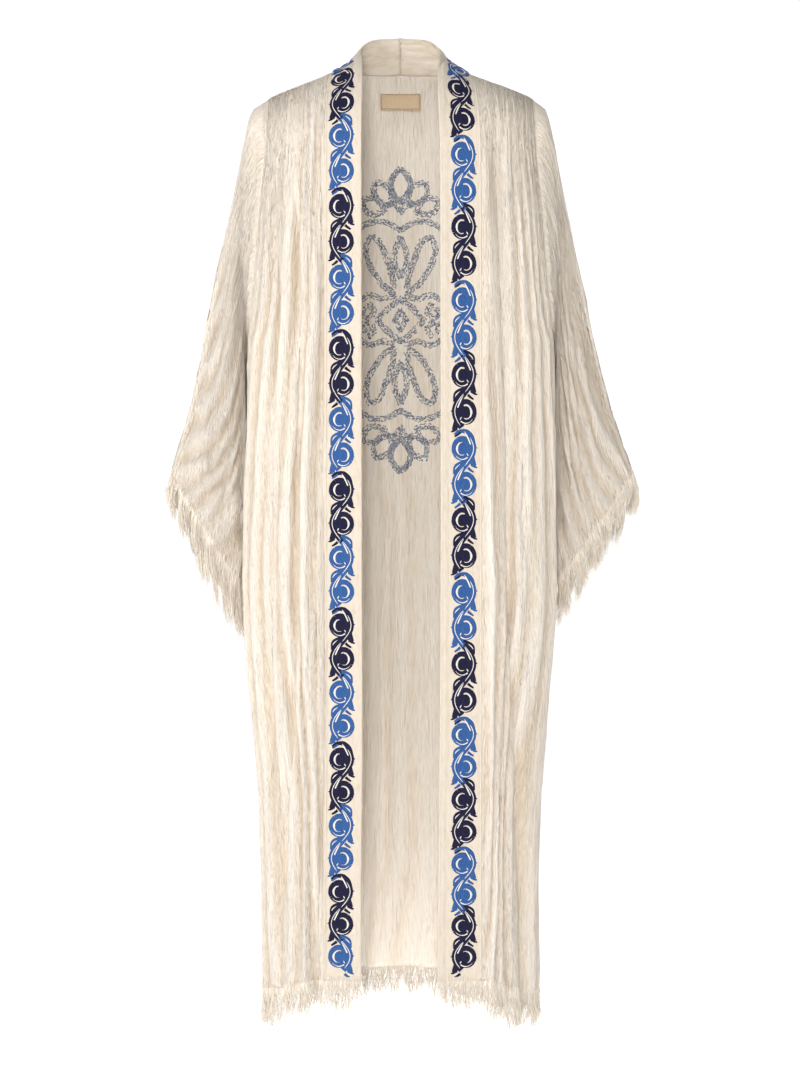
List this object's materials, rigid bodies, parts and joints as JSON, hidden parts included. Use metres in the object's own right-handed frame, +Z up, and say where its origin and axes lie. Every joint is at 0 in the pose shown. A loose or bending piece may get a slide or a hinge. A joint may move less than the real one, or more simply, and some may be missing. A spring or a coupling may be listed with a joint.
{
  "type": "open-front kimono robe",
  "caption": "Long open-front kimono robe of crinkled cotton gauze with wide hanging sleeves, embroidered front bands and fringed cuffs and hem.",
  "frame": {"origin": "between the shoulders on the centre line, at the height of the neck's root, where the wearer's shoulders hold the robe", "axes": "+Z up the robe towards the neck, +Y from the open front to the back, +X from the wearer's right to the wearer's left"},
  "size_m": [0.6118, 0.2113, 1.3034],
  "materials": {
    "gauze": "crinkled cream cotton gauze, matt and slightly sheer",
    "band": "folded cream cotton with dark blue and mid blue chain-stitch scroll embroidery",
    "label": "small plain woven label, tan, matt",
    "fringe": "loose cream cotton threads"
  },
  "bodies": {
    "root": {"back": "gauze", "front_right": "gauze", "front_left": "gauze", "sleeve_right_front": "gauze", "sleeve_right_back": "gauze", "sleeve_left_front": "gauze", "sleeve_left_back": "gauze", "band_right": "band", "band_left": "band", "label": "label", "fringe_hem_back": "fringe", "fringe_hem_right": "fringe", "fringe_hem_left": "fringe", "fringe_cuff_right": "fringe", "fringe_cuff_left": "fringe"}
  },
  "joints": []
}
